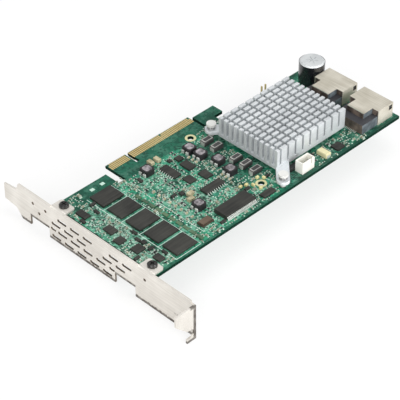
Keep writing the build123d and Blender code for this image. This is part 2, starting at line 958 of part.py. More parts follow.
def chip_end_caps():
    """Tinned end caps of the small capacitors and resistors."""
    caps = []
    for rows, height in ((cap_rows, cap_height), (resistor_rows, resistor_height)):
        for x, y in row_places(rows):
            for side in (-1, 1):
                end = x + side * (cap_length - end_cap) / 2
                caps.append(block(end_cap, cap_width, height, end, y))
    return group(caps)


def resistor_arrays():
    """The column of resistor arrays beside the memory chips."""
    x = array_left + array_width / 2
    places = [(x, array_start + i * array_pitch) for i in range(array_count)]
    return group([block(array_width, array_length, resistor_height, *place) for place in places])


def capacitor_can():
    """The bulk capacitor's can, bevelled and scored on top."""
    radius = bulk_radius - sleeve_wall - sleeve_gap
    can = disc(radius, bulk_height, 0, 0)
    can = chamfer(can.edges().sort_by(Axis.Z)[-1], bulk_edge)
    score = block(radius, score_width, score_width, 0, 0, bulk_height - score_width)
    can -= [Rot(0, 0, i * 180 / score_count) * score for i in range(score_count)]
    return Pos(bulk_x, bulk_y, 0) * can


def capacitor_sleeve():
    """The printed sleeve that wraps the can, folded a little over its top edge."""
    inner = bulk_radius - sleeve_wall
    top = bulk_height - bulk_edge
    return disc(bulk_radius, top, bulk_x, bulk_y) - disc(inner, top, bulk_x, bulk_y)


def capacitor_leads():
    """The bulk capacitor's two leads, soldered under the board."""
    return square_pins(bulk_lead_places(), bulk_lead, 0)


def port_shell(centre):
    """A folded metal shell, open to the rear, with latch windows and a tab over the housing."""
    half = port_width / 2
    inner = half - port_sheet
    shell = span((port_back, port_front), (centre - half, centre + half), (0, port_height))
    low = (port_sheet, port_height - port_sheet)
    shell -= span((port_back, port_front), (centre - inner, centre + inner), low)
    tab = (centre - port_tab_width / 2, centre + port_tab_width / 2)
    shell += span((port_back - port_tab_length, port_back), tab, (port_height - port_sheet, port_height))
    window_high = port_height - port_window_drop
    window = (window_high - port_window_height, window_high)
    window_right = port_front - port_window_inset
    shell -= span((window_right - port_window_length, window_right), (centre - half, centre + half), window)
    size = (shell_leg_width, port_sheet, board_thickness)
    legs = [block(*size, x, y, -board_thickness) for x, y in shell_leg_places((centre,))]
    return shell + legs


def port_housing(centre):
    """The moulded housing: a low rear part, a raised middle and a nose with the mating slot."""
    rear = port_back - housing_rear
    half = housing_width / 2
    housing = span((rear, port_back), (centre - half, centre + half), (0, housing_low))
    tab_half = port_tab_width / 2
    middle = (port_back - port_tab_length, port_back)
    ceiling = port_height - port_sheet
    housing += span(middle, (centre - tab_half, centre + tab_half), (0, ceiling))
    nose_half = port_width / 2 - port_sheet - housing_fit
    nose = (port_back, port_back + housing_nose)
    low = port_sheet
    housing += span(nose, (centre - nose_half, centre + nose_half), (low, ceiling - housing_fit))
    slot_x = port_back + housing_nose
    slot_low = (port_height - slot_height) / 2
    across = (centre - slot_width / 2, centre + slot_width / 2)
    return housing - span((slot_x - slot_depth, slot_x), across, (slot_low, slot_low + slot_height))


def port_contacts(centre):
    """Flat tails behind the housing."""
    rear = port_back - housing_rear
    first = centre - (tail_count - 1) * tail_pitch / 2
    size = (tail_length, tail_width, tail_thickness)
    return group([block(*size, rear - tail_length / 2, first + i * tail_pitch) for i in range(tail_count)])


def cable_header():
    """The header's moulded shroud, open at the top and slit beside its last pin."""
    x, y = header_x, header_inset
    shroud = block(header_length, header_width, header_height, x, y)
    pocket = (header_length - 2 * header_wall, header_width - 2 * header_wall)
    shroud -= block(*pocket, header_height - header_floor, x, y, header_floor)
    slit_x = x + header_length / 2 - header_margin
    slit_y = y - header_width / 2 + header_wall / 2
    size = (header_slit, 2 * header_wall, header_slit_depth)
    shroud -= block(*size, slit_x, slit_y, header_height - header_slit_depth)
    for pin_x, pin_y in header_pin_places():
        shroud -= block(header_pin, header_pin, header_floor, pin_x, pin_y)
    return shroud


def square_pins(places, width, top):
    """Square pins that reach through the board."""
    height = top + board_thickness
    return group([block(width, width, height, x, y, -board_thickness) for x, y in places])


def cable_header_pins():
    """The cable header's pins."""
    return square_pins(header_pin_places(), header_pin, header_pin_top)


def jumper_base_part():
    """The jumper's moulded base with its two pin holes."""
    base = block(2 * jumper_pitch, jumper_pitch, jumper_base, jumper_x, jumper_y)
    base = chamfer(base.edges().filter_by(Axis.Z), jumper_pitch / 8)
    return base - [block(jumper_pin, jumper_pin, jumper_base, x, y) for x, y in jumper_pin_places()]


def jumper_pins():
    """The jumper's pins."""
    return square_pins(jumper_pin_places(), jumper_pin, jumper_top)


def solder_joints():
    """Solder cones over the clipped end of every lead under the board."""
    joints = []
    for x, y, radius in lead_places():
        cone = flat_cone(radius + solder_foot, radius, -solder_rise, small_hole_sides)
        joints.append(Pos(x, y, -board_thickness) * cone)
    return group(joints)


def all_parts():
    """Every node of the card by name."""
    parts = {
        "circuit_board": circuit_board(),
        "edge_contacts": edge_contacts(),
        "io_bracket": io_bracket(),
        "bracket_screws": bracket_screws(),
        "bracket_nuts": bracket_nuts(),
        "board_hole_rings": board_hole_rings(),
        "controller_chip": controller_chip(),
        "thermal_pad": thermal_pad(),
        "heatsink": heatsink(),
        "heatsink_push_pins": heatsink_push_pins(),
        "push_pin_springs": push_pin_springs(),
        "flash_chip": flash_chip(),
        "flash_chip_leads": flash_chip_leads(),
        "small_outline_chips": small_outline_bodies(),
        "small_outline_leads": small_outline_leads(),
        "regulator_chips": regulator_parts(),
        "logic_chips": logic_parts(),
        "power_inductors": power_inductors(),
        "inductor_cores": inductor_cores(),
        "polymer_capacitors": polymer_capacitors(),
        "polymer_terminals": polymer_terminals(),
        "tantalum_capacitor": tantalum_capacitor(),
        "tantalum_terminals": tantalum_terminals(),
        "ceramic_capacitors": ceramic_capacitors(),
        "oscillator_base": oscillator_base_part(),
        "oscillator_lid": oscillator_lid_part(),
        "chip_capacitors": chip_capacitors(),
        "chip_resistors": chip_resistors(),
        "chip_end_caps": chip_end_caps(),
        "resistor_arrays": resistor_arrays(),
        "capacitor_can": capacitor_can(),
        "capacitor_sleeve": capacitor_sleeve(),
        "capacitor_leads": capacitor_leads(),
        "cable_header": cable_header(),
        "cable_header_pins": cable_header_pins(),
        "jumper_base": jumper_base_part(),
        "jumper_pins": jumper_pins(),
        "solder_joints": solder_joints(),
    }
    for i in range(memory_count):
        parts[f"memory_chip_{i + 1}"] = memory_chip(i)
    for i, centre in enumerate(port_centres):
        parts[f"sas_port_shell_{i + 1}"] = port_shell(centre)
        parts[f"sas_port_housing_{i + 1}"] = port_housing(centre)
        parts[f"sas_port_contacts_{i + 1}"] = port_contacts(centre)
    return parts


def save(parts):
    """Write each node, moved so that the origin is under the middle of the card."""
    boxes = [shape.bounding_box() for shape in parts.values()]
    lowest = [min(tuple(box.min)[axis] for box in boxes) for axis in range(3)]
    highest = [max(tuple(box.max)[axis] for box in boxes) for axis in range(3)]
    shift = Pos(-(lowest[0] + highest[0]) / 2, -(lowest[1] + highest[1]) / 2, -lowest[2])
    os.makedirs("parts", exist_ok=True)
    for name, shape in parts.items():
        export_step(shift * shape, f"parts/{name}.step")


if __name__ == "__main__":
    save(all_parts())
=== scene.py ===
"""Looks of the raid controller card: finishes, fine parts, camera, lights and floor.

Places are in card millimetres, as in the part's source: X from the bracket's outer face, Y from
the board's free edge, Z from the board's top face. at() turns them into the frame's metres.
"""
import json
import math
import random

import bmesh
import bpy
from mathutils import Matrix, Vector


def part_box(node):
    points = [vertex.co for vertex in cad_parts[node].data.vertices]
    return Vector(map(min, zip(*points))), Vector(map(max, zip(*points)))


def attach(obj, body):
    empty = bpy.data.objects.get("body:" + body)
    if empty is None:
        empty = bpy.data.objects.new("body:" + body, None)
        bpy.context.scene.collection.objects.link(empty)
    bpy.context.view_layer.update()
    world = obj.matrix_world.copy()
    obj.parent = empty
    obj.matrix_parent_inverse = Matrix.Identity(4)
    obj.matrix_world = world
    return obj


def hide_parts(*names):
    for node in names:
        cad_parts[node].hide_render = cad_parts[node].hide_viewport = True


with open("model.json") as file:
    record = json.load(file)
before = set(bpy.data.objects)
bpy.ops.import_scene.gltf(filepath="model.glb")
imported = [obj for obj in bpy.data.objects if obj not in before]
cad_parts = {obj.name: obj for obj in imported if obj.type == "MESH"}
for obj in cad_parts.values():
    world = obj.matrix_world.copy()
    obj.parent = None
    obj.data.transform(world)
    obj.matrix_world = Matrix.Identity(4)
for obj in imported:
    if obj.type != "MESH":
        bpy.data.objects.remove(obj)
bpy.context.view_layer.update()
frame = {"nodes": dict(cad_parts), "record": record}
rng = random.Random(7)

BOARD_LEFT = 1.9
BOARD_THICKNESS = 1.57
BRACKET_SHEET = 0.86
EDGE_NOTCHES = ((11.2, 23.7), (65.6, 78.1))
TONGUE_START = 80
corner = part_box("circuit_board")[0]
ORIGIN = corner - Vector((BOARD_LEFT, 0, -BOARD_THICKNESS)) / 1000
SLOTS = {part["node"]: part["material_slot"] for part in frame["record"]["subparts"]}


def at(x, y, z):
    """A point in card millimetres, in the frame's metres."""
    return ORIGIN + Vector((x, y, z)) / 1000


def card(point):
    """A point of the frame, in card millimetres."""
    return (Vector(point) - ORIGIN) * 1000


# Materials


def tone(red, green, blue):
    """A colour given in display values from 0 to 255, as the shader's linear colour."""
    linear = [((v / 255 + 0.055) / 1.055) ** 2.4 if v > 10 else v / 255 / 12.92 for v in (red, green, blue)]
    return (*linear, 1.0)


class Recipe:
    """A material's node tree, built one node at a time."""

    def __init__(self, name, material=None):
        self.material = material or bpy.data.materials.new(name)
        self.material.use_nodes = True
        self.tree = self.material.node_tree
        self.shader = self.tree.nodes["Principled BSDF"]
        self.place = self.node("TexCoord").outputs["Object"]

    def node(self, kind, inputs=None, **settings):
        """Add a node: settings are its options, inputs its sockets' values or the links into them."""
        new = self.tree.nodes.new("ShaderNode" + kind)
        for key, value in settings.items():
            setattr(new, key, value)
        for key, value in (inputs or {}).items():
            if isinstance(value, bpy.types.NodeSocket):
                self.tree.links.new(value, new.inputs[key])
            else:
                new.inputs[key].default_value = value
        return new

    def noise(self, scale, detail=2.0, rough=0.5, place=None):
        """Noise whose features are about 1 / scale metres wide."""
        inputs = {"Vector": place or self.place, "Scale": scale, "Detail": detail, "Roughness": rough}
        return self.node("TexNoise", inputs).outputs["Fac"]

    def stretch(self, x, y, z):
        """The object's place, stretched along each axis."""
        return self.node("Mapping", {"Vector": self.place, "Scale": (x, y, z)}).outputs["Vector"]

    def card_axes(self):
        """The place in card millimetres, one value for each axis."""
        inputs = {"Vector": self.place, "Location": tuple(ORIGIN * -1000), "Scale": (1000, 1000, 1000)}
        moved = self.node("Mapping", inputs).outputs["Vector"]
        return self.node("SeparateXYZ", {"Vector": moved}).outputs

    def band(self, value, low, high, soft=1.0):
        """One between two limits and zero outside, with soft ends."""
        rise = self.sharpen(value, low - soft / 2, low + soft / 2)
        return self.times(rise, self.sharpen(value, high + soft / 2, high - soft / 2))

    def sharpen(self, value, low, high):
        """A value between two limits, spread from 0 to 1."""
        inputs = {"Value": value, "From Min": low, "From Max": high}
        return self.node("MapRange", inputs).outputs["Result"]

    def maths(self, operation, *values):
        """One sum, with values or links."""
        return self.node("Math", dict(enumerate(values)), operation=operation).outputs["Value"]

    def blend(self, share, first, second):
        """A mix of two colours."""
        return self.node("Mix", {0: share, 6: first, 7: second}, data_type="RGBA").outputs[2]

    def choose(self, share, first, second):
        """A mix of two values."""
        return self.node("Mix", {0: share, 2: first, 3: second}, data_type="FLOAT").outputs[0]

    def times(self, first, second):
        """The product of two values."""
        return self.maths("MULTIPLY", first, second)

    def larger(self, first, second):
        """The larger of two values."""
        return self.maths("MAXIMUM", first, second)

    def facing(self):
        """The direction that the surface faces, one value for each axis."""
        normal = self.node("NewGeometry").outputs["Normal"]
        return self.node("SeparateXYZ", {"Vector": normal}).outputs

    def colour(self):
        """The colour that is linked to the shader."""
        return self.shader.inputs["Base Color"].links[0].from_socket

    def set(self, name, value):
        """Set or link one socket of the shader."""
        if isinstance(value, bpy.types.NodeSocket):
            self.tree.links.new(value, self.shader.inputs[name])
        else:
            self.shader.inputs[name].default_value = value

    def bump(self, height, strength, distance):
        """Relief from a height."""
        inputs = {"Height": height, "Strength": strength, "Distance": distance}
        self.set("Normal", self.node("Bump", inputs).outputs["Normal"])


def finish(name, dark, light, rough, metallic=0.0, grain=900.0, relief=0.1, coat=0.0):
    """A finish that drifts between two colours, with fine grain in its gloss and relief."""
    recipe = Recipe(name)
    drift = recipe.sharpen(recipe.noise(grain * 0.12, 3.0), 0.35, 0.65)
    fine = recipe.noise(grain, 3.0, 0.6)
    mixed = recipe.maths("MULTIPLY_ADD", drift, 0.65, recipe.times(fine, 0.35))
    recipe.set("Base Color", recipe.blend(mixed, tone(*dark), tone(*light)))
    recipe.set("Roughness", recipe.maths("MULTIPLY_ADD", fine, 0.16, rough - 0.08))
    recipe.set("Metallic", metallic)
    recipe.set("Coat Weight", coat)
    recipe.bump(fine, relief, 0.00002)
    return recipe.material


def brushed(name, dark, light, rough, along, metallic=1.0, fine=2500):
    """A surface with fine lines along one axis."""
    recipe = Recipe(name)
    scale = [60 if axis == along else fine for axis in "XYZ"]
    lines = recipe.noise(1.0, 3.0, 0.6, recipe.stretch(*scale))
    drift = recipe.noise(90.0, 2.0)
    share = recipe.maths("ADD", recipe.times(lines, 0.5), recipe.times(drift, 0.5))
    recipe.set("Base Color", recipe.blend(recipe.sharpen(share, 0.35, 0.65), tone(*dark), tone(*light)))
    recipe.set("Roughness", recipe.maths("ADD", recipe.times(lines, 0.2), rough - 0.1))
    recipe.set("Metallic", metallic)
    recipe.bump(lines, 0.15, 0.00001)
    return recipe.material


# Where painted shade lies on the bracket, along its lower edges, notches and fold, in card millimetres:
# each pair runs from unshaded to dark
LOWER_EDGE = (-15.1, -15.6)
NOTCH_EDGE = (-11.2, -11.6)
FOLD = (-23.2, -23.6)
FOLD_FACE = (-1.7, -1.2)
FOLD_TOP = (-0.7, -0.2)
FOLD_TOP_REACH = (-3.4, -2.8)
# The painted shadow that the flange casts on the face, from low to high along Y and along Z
FLANGE_SHADOW = ((-22.0, -12.0), (-15.6, -9.0))


def bracket_finish(name):
    """Brushed nickel, with painted shade along its lower edges and fold, and a painted shadow of the flange
    near it.
    """
    material = brushed(name, (207, 202, 194), (234, 230, 223), 0.44, "Y", 0.5)
    recipe = Recipe(name, material)
    x, y, z = recipe.card_axes()
    # Painted shade along the lower edges and notches, with a ragged border
    ragged = recipe.maths("MULTIPLY_ADD", recipe.noise(700.0, 2.0), 1.6, z)
    rim = recipe.sharpen(ragged, *LOWER_EDGE)
    for low, high in EDGE_NOTCHES:
        notch = recipe.times(recipe.sharpen(z, *NOTCH_EDGE), recipe.band(y, low, high, 0.4))
        rim = recipe.larger(rim, notch)
    # Painted shade along the fold and at its top
    top = recipe.times(recipe.sharpen(z, *FOLD_TOP), recipe.sharpen(x, *FOLD_TOP_REACH))
    fold = recipe.larger(recipe.sharpen(x, *FOLD_FACE), top)
    rim = recipe.larger(rim, recipe.times(recipe.sharpen(y, *FOLD), fold))
    # Painted shadow of the flange on the face, in smudges
    flange_shadow = recipe.times(recipe.band(y, *FLANGE_SHADOW[0]), recipe.band(z, *FLANGE_SHADOW[1]))
    flange_shadow = recipe.times(flange_shadow, recipe.sharpen(recipe.noise(420.0, 2.0), 0.5, 0.62))
    rim = recipe.larger(rim, recipe.times(flange_shadow, 0.6))
    grain = recipe.sharpen(recipe.noise(500.0, 2.0), 0.3, 0.6)
    rim = recipe.times(rim, recipe.maths("MULTIPLY_ADD", grain, 0.3, 0.65))
    # The painted shade and shadow, in dark brown
    recipe.set("Base Color", recipe.blend(rim, recipe.colour(), tone(74, 66, 58)))
    return material


def housing_finish(name):
    """Dark moulding, browner on its rear face and greyer on its sides."""
    material = finish(name, (40, 40, 44), (66, 66, 70), 0.5)
    recipe = Recipe(name, material)
    facing = recipe.facing()
    patch = recipe.sharpen(recipe.noise(260.0, 2.0), 0.35, 0.65)
    brown = recipe.blend(patch, tone(54, 48, 43), tone(112, 99, 90))
    grey = recipe.blend(patch, tone(66, 74, 80), tone(112, 122, 128))
    mixed = recipe.blend(recipe.sharpen(facing["X"], -0.5, -0.9), recipe.colour(), brown)
    recipe.set("Base Color", recipe.blend(recipe.sharpen(facing["Y"], -0.5, -0.9), mixed, grey))
    return material


# Where the board's finish changes, in card millimetres: each pair runs from green to dark
NEAR_RIM = (1.9, 1.1)
FAR_RIM = (53.0, 56.0)
# Painted shade: the corner in front of the heatsink, and the strip between the heatsink and the power parts
SHADED_CORNER = ((82.0, 94.0), (14.0, 9.0))
# From low to high along X and along Y, with the width of the soft ends
SHADED_STRIP = ((66.0, 86.0, 6.0), (13.0, 50.0, 6.0))
CROWDED = ((36.0, 52.0, 6.0), (14.0, 50.0, 8.0))
# The same along X only
BY_BRACKET = (0.0, 15.5, 1.0)


def cells(recipe, scale, randomness, **settings):
    """A pattern of cells, and three random values for each cell."""
    inputs = {"Vector": recipe.place, "Scale": scale, "Randomness": randomness}
    pattern = recipe.node("TexVoronoi", inputs, **settings)
    return pattern, recipe.node("SeparateColor", {"Color": pattern.outputs["Color"]}).outputs


def mask_colour(recipe, pour):
    """Green mask, lighter over copper areas, with a broad drift and with pale and dark blotches."""
    base = recipe.blend(pour, tone(16, 84, 64), tone(30, 122, 96))
    drift = recipe.sharpen(recipe.noise(70.0, 2.0), 0.42, 0.6)
    base = recipe.blend(recipe.times(drift, 0.7), base, tone(40, 150, 112))
    pale = recipe.sharpen(recipe.noise(240.0, 3.0, 0.6), 0.5, 0.6)
    base = recipe.blend(recipe.times(pale, 0.65), base, tone(124, 184, 158))
    dark = recipe.sharpen(recipe.noise(260.0, 3.0, 0.6, recipe.stretch(1.0, 1.0, 3.0)), 0.47, 0.38)
    return recipe.blend(recipe.times(dark, 0.7), base, tone(4, 46, 36))


def track_lines(recipe, chance):
    """Patches of fine tracks, whose direction changes from cell to cell."""
    tracks = []
    for kind in ("X", "Y", "DIAGONAL"):
        inputs = {"Vector": recipe.place, "Scale": 330.0, "Distortion": 0.0}
        wave = recipe.node("TexWave", inputs, bands_direction=kind)
        tracks.append(recipe.sharpen(wave.outputs["Fac"], 0.7, 0.84))
    lines = recipe.choose(recipe.sharpen(chance["Green"], 0.49, 0.51), tracks[0], tracks[1])
    lines = recipe.choose(recipe.sharpen(chance["Blue"], 0.64, 0.66), lines, tracks[2])
    return recipe.times(lines, recipe.sharpen(recipe.noise(120.0, 1.0), 0.44, 0.5))


def crowding(recipe, x, y, rim):
    """How crowded a place is: most by the bracket and between memory and power parts, least on rims."""
    crowd = recipe.times(recipe.band(x, *CROWDED[0]), recipe.band(y, *CROWDED[1]))
    crowd = recipe.maths("ADD", crowd, recipe.band(x, *BY_BRACKET))
    crowd = recipe.maths("MULTIPLY_ADD", crowd, 0.75, 0.15)
    crowd = recipe.times(crowd, recipe.sharpen(recipe.noise(95.0, 2.0, 0.6), 0.3, 0.62))
    return recipe.maths("SUBTRACT", crowd, rim)


def with_pads(recipe, base, crowd):
    """The mask with small pale pads, more of them where it is crowded, and small dark gaps."""
    pick = cells(recipe, 1050.0, 0.9, distance="CHEBYCHEV")[1]
    base = recipe.blend(recipe.times(crowd, 0.42), base, tone(132, 156, 140))
    pale = recipe.maths("MULTIPLY_ADD", crowd, 0.3, pick["Red"])
    pale = recipe.times(recipe.sharpen(pale, 0.92, 1.0), 0.7)
    base = recipe.blend(pale, base, tone(158, 198, 180))
    dark = recipe.times(recipe.sharpen(pick["Green"], 0.78, 0.82), 0.75)
    return recipe.blend(dark, base, tone(6, 42, 32))


def with_plated_holes(recipe, base):
    """The mask with a small plated hole in about half of the cells."""
    pattern, pick = cells(recipe, 520.0, 1.0)
    holes = recipe.sharpen(pattern.outputs["Distance"], 0.16, 0.11)
    holes = recipe.times(holes, recipe.sharpen(pick["Red"], 0.5, 0.52))
    return recipe.blend(recipe.times(holes, 0.9), base, tone(196, 222, 206))


def painted_shade_places(recipe, x, y):
    """Painted shade: the strip between the power parts and the heatsink, and the corner in front of the
    heatsink.
    """
    corner_place = recipe.times(recipe.sharpen(x, *SHADED_CORNER[0]), recipe.sharpen(y, *SHADED_CORNER[1]))
    strip = recipe.times(recipe.band(x, *SHADED_STRIP[0]), recipe.band(y, *SHADED_STRIP[1]))
    return recipe.larger(corner_place, strip)


def board_finish(name):
    """Green mask over copper areas, tracks, pads and plated holes, with a darker cut edge and painted shade
    by the heatsink.
    """
    recipe = Recipe(name)
    x, y, _ = recipe.card_axes()
    chance = cells(recipe, 210.0, 0.8, distance="CHEBYCHEV")[1]
    pour = recipe.sharpen(chance["Red"], 0.45, 0.55)
    lines = track_lines(recipe, chance)
    rim = recipe.larger(recipe.sharpen(y, *NEAR_RIM), recipe.sharpen(y, *FAR_RIM))
    base = recipe.blend(recipe.times(lines, 0.6), mask_colour(recipe, pour), tone(92, 178, 150))
    base = with_pads(recipe, base, crowding(recipe, x, y, rim))
    base = with_plated_holes(recipe, base)
    base = recipe.blend(recipe.times(rim, 0.75), base, tone(10, 72, 56))
    # Painted shade by the heatsink
    base = recipe.blend(recipe.times(painted_shade_places(recipe, x, y), 0.5), base, tone(8, 46, 36))
    side = recipe.sharpen(recipe.maths("ABSOLUTE", recipe.facing()["Z"]), 0.6, 0.4)
    weave = recipe.noise(1.0, 2.0, 0.5, recipe.stretch(400, 400, 5200))
    core = recipe.blend(weave, tone(3, 32, 23), tone(12, 54, 40))
    recipe.set("Base Color", recipe.blend(side, base, core))
    recipe.set("Roughness", recipe.maths("ADD", recipe.times(side, 0.3), 0.45))
    recipe.set("Specular IOR Level", recipe.maths("MULTIPLY_ADD", side, -0.25, 0.3))
    recipe.bump(recipe.maths("ADD", lines, recipe.times(pour, 0.6)), 0.25, 0.00003)
    return recipe.material


MATERIALS = {
    "board_laminate": board_finish("board_laminate"),
    "contact_gold": brushed("contact_gold", (214, 184, 122), (236, 212, 156), 0.4, "Y", 0.7),
    "bracket_nickel": bracket_finish("bracket_nickel"),
    "screw_black": finish("screw_black", (22, 22, 22), (62, 60, 58), 0.3, 0.5, coat=0.5),
    "nut_steel": brushed("nut_steel", (170, 170, 168), (205, 205, 202), 0.36, "Z"),
    "ring_tin": finish("ring_tin", (214, 208, 160), (236, 230, 186), 0.4, 0.5),
    "heatsink_aluminium": brushed("heatsink_aluminium", (196, 200, 203), (226, 230, 232), 0.45, "X", 0.35),
    "pin_nylon": finish("pin_nylon", (206, 207, 203), (230, 230, 227), 0.5),
    "spring_steel": brushed("spring_steel", (160, 160, 160), (200, 200, 200), 0.3, "Z"),
    "pad_grey": finish("pad_grey", (104, 110, 118), (132, 138, 144), 0.8, grain=1500),
    "package_dark": finish("package_dark", (14, 34, 24), (24, 50, 36), 0.45),
    "chip_black": brushed("chip_black", (20, 21, 18), (56, 56, 51), 0.64, "X", 0.0, fine=1100),
    "lead_tin": finish("lead_tin", (186, 190, 184), (228, 232, 226), 0.36, 0.45),
    "ferrite_dark": finish("ferrite_dark", (12, 12, 14), (38, 37, 40), 0.6, grain=2200, relief=0.3),
    "core_silver": finish("core_silver", (54, 52, 55), (196, 190, 194), 0.4, 0.3, grain=4200),
    "polymer_grey": finish("polymer_grey", (44, 44, 44), (72, 70, 70), 0.5),
    "tantalum_cream": finish("tantalum_cream", (196, 188, 146), (224, 217, 176), 0.5),
    "ceramic_tan": finish("ceramic_tan", (138, 130, 100), (200, 192, 160), 0.5, grain=3000),
    "oscillator_ceramic": finish("oscillator_ceramic", (58, 44, 38), (84, 66, 56), 0.5),
    "oscillator_metal": brushed("oscillator_metal", (112, 96, 84), (150, 132, 116), 0.4, "X"),
    "resistor_black": finish("resistor_black", (22, 24, 24), (52, 54, 54), 0.35),
    "can_aluminium": brushed("can_aluminium", (188, 192, 194), (222, 225, 226), 0.42, "X", 0.35),
    "sleeve_black": finish("sleeve_black", (12, 12, 15), (28, 28, 34), 0.28, coat=0.4),
    "port_shell_metal": brushed("port_shell_metal", (184, 178, 162), (226, 221, 208), 0.48, "Y", 0.5),
    "port_black": housing_finish("port_black"),
    "header_white": finish("header_white", (226, 224, 214), (242, 240, 234), 0.5),
    "jumper_black": finish("jumper_black", (20, 20, 20), (42, 42, 42), 0.5),
    "pin_gold": brushed("pin_gold", (200, 180, 124), (232, 214, 160), 0.36, "Z", 0.6),
}
for name, node in frame["nodes"].items():
    node.data.materials.clear()
    node.data.materials.append(MATERIALS[SLOTS[name]])
# Pale finish for the printed lines, and for the painted highlights on the port shells
print_and_highlight = finish("white_print_and_highlight", (170, 204, 190), (214, 234, 222), 0.6)
pad_tin = finish("pad_tin", (170, 198, 180), (224, 236, 224), 0.4, 0.2)
fine_body = finish("fine_body", (104, 104, 84), (170, 168, 146), 0.5)
array_body = finish("array_body", (40, 70, 54), (96, 122, 92), 0.45)
pale_yellow = finish("pale_yellow", (198, 188, 132), (232, 224, 172), 0.5)
# Painted shade for the thin edges of the bracket's sheet
shaded_edge = finish("shaded_edge", (84, 72, 62), (134, 120, 106), 0.6)
fine_tin = finish("fine_tin", (124, 144, 132), (194, 208, 196), 0.4, 0.2)
silver_rim = finish("silver_rim", (140, 140, 136), (196, 196, 190), 0.45, 0.2)
frame["nodes"]["resistor_arrays"].data.materials[0] = array_body


# Meshes


def piece(name, bm, slot, material=None, smooth=False):
    """Turn a bmesh into a piece that rides on the card."""
    mesh = bpy.data.meshes.new(name)
    bmesh.ops.recalc_face_normals(bm, faces=bm.faces)
    bm.to_mesh(mesh)
    bm.free()
    mesh.materials.append(material or MATERIALS[slot])
    for polygon in mesh.polygons:
        polygon.use_smooth = smooth
    obj = bpy.data.objects.new(name, mesh)
    bpy.context.scene.collection.objects.link(obj)
    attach(obj, "root")
    return obj


def ring_stack(bm, rings):
    """Join rings of points into a closed skin with a cap at each end."""
    loops = [[bm.verts.new(p) for p in ring] for ring in rings]
    count = len(loops[0])
    for low, high in zip(loops, loops[1:]):
        for i in range(count):
            j = (i + 1) % count
            bm.faces.new((low[i], low[j], high[j], high[i]))
    bm.faces.new(reversed(loops[0]))
    bm.faces.new(loops[-1])


def add_box(bm, x, y, z, length, width, height, bevel=0.0, turn=0.0):
    """A box centred on (x, y) and standing on z, with its top edges cut."""
    place = Matrix.Translation((x, y, 0)) @ Matrix.Rotation(math.radians(turn), 4, "Z")

    def level(inset, h):
        half = (length / 2 - inset, width / 2 - inset)
        corners = [(-half[0], -half[1]), (half[0], -half[1]), (half[0], half[1]), (-half[0], half[1])]
        return [at(*(place @ Vector((a, b, h)))) for a, b in corners]

    rings = [level(0, z), level(0, z + height - bevel)]
    if bevel:
        rings.append(level(bevel, z + height))
    ring_stack(bm, rings)


def add_disc(bm, x, y, z, radius, height, sides):
    """A low disc."""
    angles = [2 * math.pi * i / sides for i in range(sides)]
    around = [(x + radius * math.cos(a), y + radius * math.sin(a)) for a in angles]
    ring_stack(bm, [[at(a, b, level) for a, b in around] for level in (z, z + height)])


def softened(node, width, segments=2):
    """A copy of a CAD node with its edges rounded, standing for the node."""
    source = frame["nodes"][node]
    bm = bmesh.new()
    bm.from_mesh(source.data)
    bmesh.ops.remove_doubles(bm, verts=bm.verts, dist=1e-6)
    bmesh.ops.dissolve_limit(bm, angle_limit=math.radians(1), verts=bm.verts, edges=bm.edges)
    mesh = bpy.data.meshes.new(node + "_finished")
    bm.to_mesh(mesh)
    bm.free()
    mesh.materials.append(MATERIALS[SLOTS[node]])
    obj = bpy.data.objects.new(node + "_finished", mesh)
    bpy.context.scene.collection.objects.link(obj)
    bevel = obj.modifiers.new("edges", "BEVEL")
    bevel.width = width / 1000
    bevel.segments = segments
    bevel.limit_method = "ANGLE"
    bevel.angle_limit = math.radians(30)
    bevel.harden_normals = True
    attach(obj, "root")
    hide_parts(node)
    return obj


def islands(node):
    """The footprint of every separate solid of a CAD node, in card millimetres."""
    bm = bmesh.new()
    bm.from_mesh(frame["nodes"][node].data)
    bmesh.ops.remove_doubles(bm, verts=bm.verts, dist=1e-6)
    seen, boxes = set(), []
    for start in bm.verts:
        if start in seen:
            continue
        seen.add(start)
        stack, members = [start], []
        while stack:
            vert = stack.pop()
            members.append(card(vert.co))
            for edge in vert.link_edges:
                other = edge.other_vert(vert)
                if other not in seen:
                    seen.add(other)
                    stack.append(other)
        lows = [min(m[k] for m in members) for k in range(3)]
        highs = [max(m[k] for m in members) for k in range(3)]
        boxes.append((lows, highs))
    bm.free()
    return boxes


# Pieces with rounded edges

softened("heatsink", 0.12, segments=1)
bracket = softened("io_bracket", 0.1, segments=1)
# The thin edge faces of the bracket's sheet, lower than the board, get painted shade: all of them before
# the tongue, and the downward ones along it
bracket.data.materials.append(shaded_edge)
for polygon in bracket.data.polygons:
    x, y, z = card(polygon.center)
    in_sheet = 0 < x < BRACKET_SHEET and z < -1.5 and abs(polygon.normal.x) < 0.5
    if in_sheet and (y < TONGUE_START or polygon.normal.z < 0):
        polygon.material_index = 1
softened("cable_header", 0.15)
for i in (1, 2):
    softened(f"sas_port_housing_{i}", 0.2)
    softened(f"sas_port_shell_{i}", 0.08, segments=1)


# Details on the parts

LATCH = (3.6, 0.5, 3.7)
LATCH_HEIGHT = 3.8
LATCH_FROM_MOUTH = 2.0
LATCH_FROM_SIDE = 0.75
# A thin bright strip that is a painted highlight on each port shell's rear edge
SHELL_HIGHLIGHT = (0.24, 9.9, 0.01)
RIM_WIDTH = 0.35
MARKED_RIM_WIDTH = 0.65
RIM_INSET = 0.3
TERMINAL = (0.2, 2.6, 1.5)
TERMINAL_HEIGHT = 0.6
COIL_END = (1.1, 1.5, 1.7)
COIL_END_INSET = 1.3
# A low black block that stands for painted shade between the cable header and the heatsink
SHADE_BLOCK = (10.6, 3.0, 1.3)
SHADE_BLOCK_SHIFT = -0.9
SHADE_BLOCK_BEHIND = 1.9
MARK_THICKNESS = 0.02


def card_box(node):
    """The two corners of a node's box, in card millimetres."""
    return [card(v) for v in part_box(node)]


